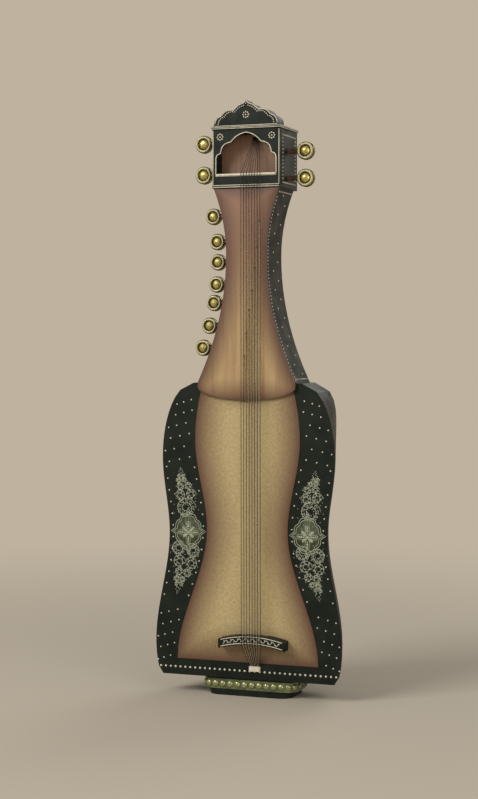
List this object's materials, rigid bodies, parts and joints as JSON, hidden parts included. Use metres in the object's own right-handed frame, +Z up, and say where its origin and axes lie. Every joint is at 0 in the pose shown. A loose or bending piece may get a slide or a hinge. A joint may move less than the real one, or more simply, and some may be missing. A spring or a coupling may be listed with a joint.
{
  "type": "sarod",
  "caption": "Upright lute with a waisted skin belly, arched pegbox, round-headed tuning pegs, bridge, strings and a stepped foot",
  "frame": {"origin": "middle of the foot's underside, on the surface it stands on", "axes": "+X to the viewer's right, +Y to the back, +Z up along the strings"},
  "size_m": [0.316, 0.1245, 0.9543],
  "materials": {
    "dark_lacquer": "black-green lacquer with bone studs",
    "plate_wood": "warm brown polished wood",
    "skin_hide": "stretched hide, brown towards its edge",
    "bone": "aged bone",
    "foot_gilt": "gilt and greenish lacquer with round studs",
    "peg_brass": "turned and polished",
    "shaft_wood": "turned dark hardwood",
    "string_steel": "plain drawn wire"
  },
  "bodies": {
    "instrument": {"sound_box": "dark_lacquer", "front_frame": "dark_lacquer", "neck_shell": "dark_lacquer", "pegbox_shell": "dark_lacquer", "pegbox_front": "dark_lacquer", "cornice": "dark_lacquer", "crest_board": "dark_lacquer", "foot_pad": "dark_lacquer", "foot_base": "dark_lacquer", "bridge": "dark_lacquer", "neck_plate": "plate_wood", "niche_board": "plate_wood", "belly_skin": "skin_hide", "nut": "bone", "tail_block": "bone", "foot_band": "foot_gilt", "playing_string_1": "string_steel", "playing_string_2": "string_steel", "playing_string_3": "string_steel", "playing_string_4": "string_steel", "playing_string_5": "string_steel", "playing_string_6": "string_steel", "playing_string_7": "string_steel", "playing_string_8": "string_steel", "side_string_1": "string_steel", "side_string_2": "string_steel", "side_string_3": "string_steel", "side_string_4": "string_steel", "side_string_5": "string_steel", "side_string_6": "string_steel", "side_string_7": "string_steel"},
    "main_peg_left_1": {"main_peg_left_1_shaft": "shaft_wood", "main_peg_left_1_head": "peg_brass"},
    "main_peg_left_2": {"main_peg_left_2_shaft": "shaft_wood", "main_peg_left_2_head": "peg_brass"},
    "main_peg_right_1": {"main_peg_right_1_shaft": "shaft_wood", "main_peg_right_1_head": "peg_brass"},
    "main_peg_right_2": {"main_peg_right_2_shaft": "shaft_wood", "main_peg_right_2_head": "peg_brass"},
    "side_peg_1": {"side_peg_1_shaft": "shaft_wood", "side_peg_1_head": "peg_brass"},
    "side_peg_2": {"side_peg_2_shaft": "shaft_wood", "side_peg_2_head": "peg_brass"},
    "side_peg_3": {"side_peg_3_shaft": "shaft_wood", "side_peg_3_head": "peg_brass"},
    "side_peg_4": {"side_peg_4_shaft": "shaft_wood", "side_peg_4_head": "peg_brass"},
    "side_peg_5": {"side_peg_5_shaft": "shaft_wood", "side_peg_5_head": "peg_brass"},
    "side_peg_6": {"side_peg_6_shaft": "shaft_wood", "side_peg_6_head": "peg_brass"},
    "side_peg_7": {"side_peg_7_shaft": "shaft_wood", "side_peg_7_head": "peg_brass"}
  },
  "joints": [
    {"name": "main_peg_left_1_turn", "type": "hinge", "parent": "instrument", "child": "main_peg_left_1", "pos_m": [0, -0.008, 0.891], "axis": [1, 0, 0], "continuous": true},
    {"name": "main_peg_left_2_turn", "type": "hinge", "parent": "instrument", "child": "main_peg_left_2", "pos_m": [0, -0.008, 0.841], "axis": [1, 0, 0], "continuous": true},
    {"name": "main_peg_right_1_turn", "type": "hinge", "parent": "instrument", "child": "main_peg_right_1", "pos_m": [0, -0.008, 0.875], "axis": [1, 0, 0], "continuous": true},
    {"name": "main_peg_right_2_turn", "type": "hinge", "parent": "instrument", "child": "main_peg_right_2", "pos_m": [0, -0.008, 0.832], "axis": [1, 0, 0], "continuous": true},
    {"name": "side_peg_1_turn", "type": "hinge", "parent": "instrument", "child": "side_peg_1", "pos_m": [0, -0.004, 0.774], "axis": [1, 0, 0], "continuous": true},
    {"name": "side_peg_2_turn", "type": "hinge", "parent": "instrument", "child": "side_peg_2", "pos_m": [0, -0.004, 0.733], "axis": [1, 0, 0], "continuous": true},
    {"name": "side_peg_3_turn", "type": "hinge", "parent": "instrument", "child": "side_peg_3", "pos_m": [0, -0.004, 0.7], "axis": [1, 0, 0], "continuous": true},
    {"name": "side_peg_4_turn", "type": "hinge", "parent": "instrument", "child": "side_peg_4", "pos_m": [0, -0.004, 0.664], "axis": [1, 0, 0], "continuous": true},
    {"name": "side_peg_5_turn", "type": "hinge", "parent": "instrument", "child": "side_peg_5", "pos_m": [0, -0.004, 0.634], "axis": [1, 0, 0], "continuous": true},
    {"name": "side_peg_6_turn", "type": "hinge", "parent": "instrument", "child": "side_peg_6", "pos_m": [0, -0.004, 0.597], "axis": [1, 0, 0], "continuous": true},
    {"name": "side_peg_7_turn", "type": "hinge", "parent": "instrument", "child": "side_peg_7", "pos_m": [0, -0.004, 0.561], "axis": [1, 0, 0], "continuous": true}
  ]
}
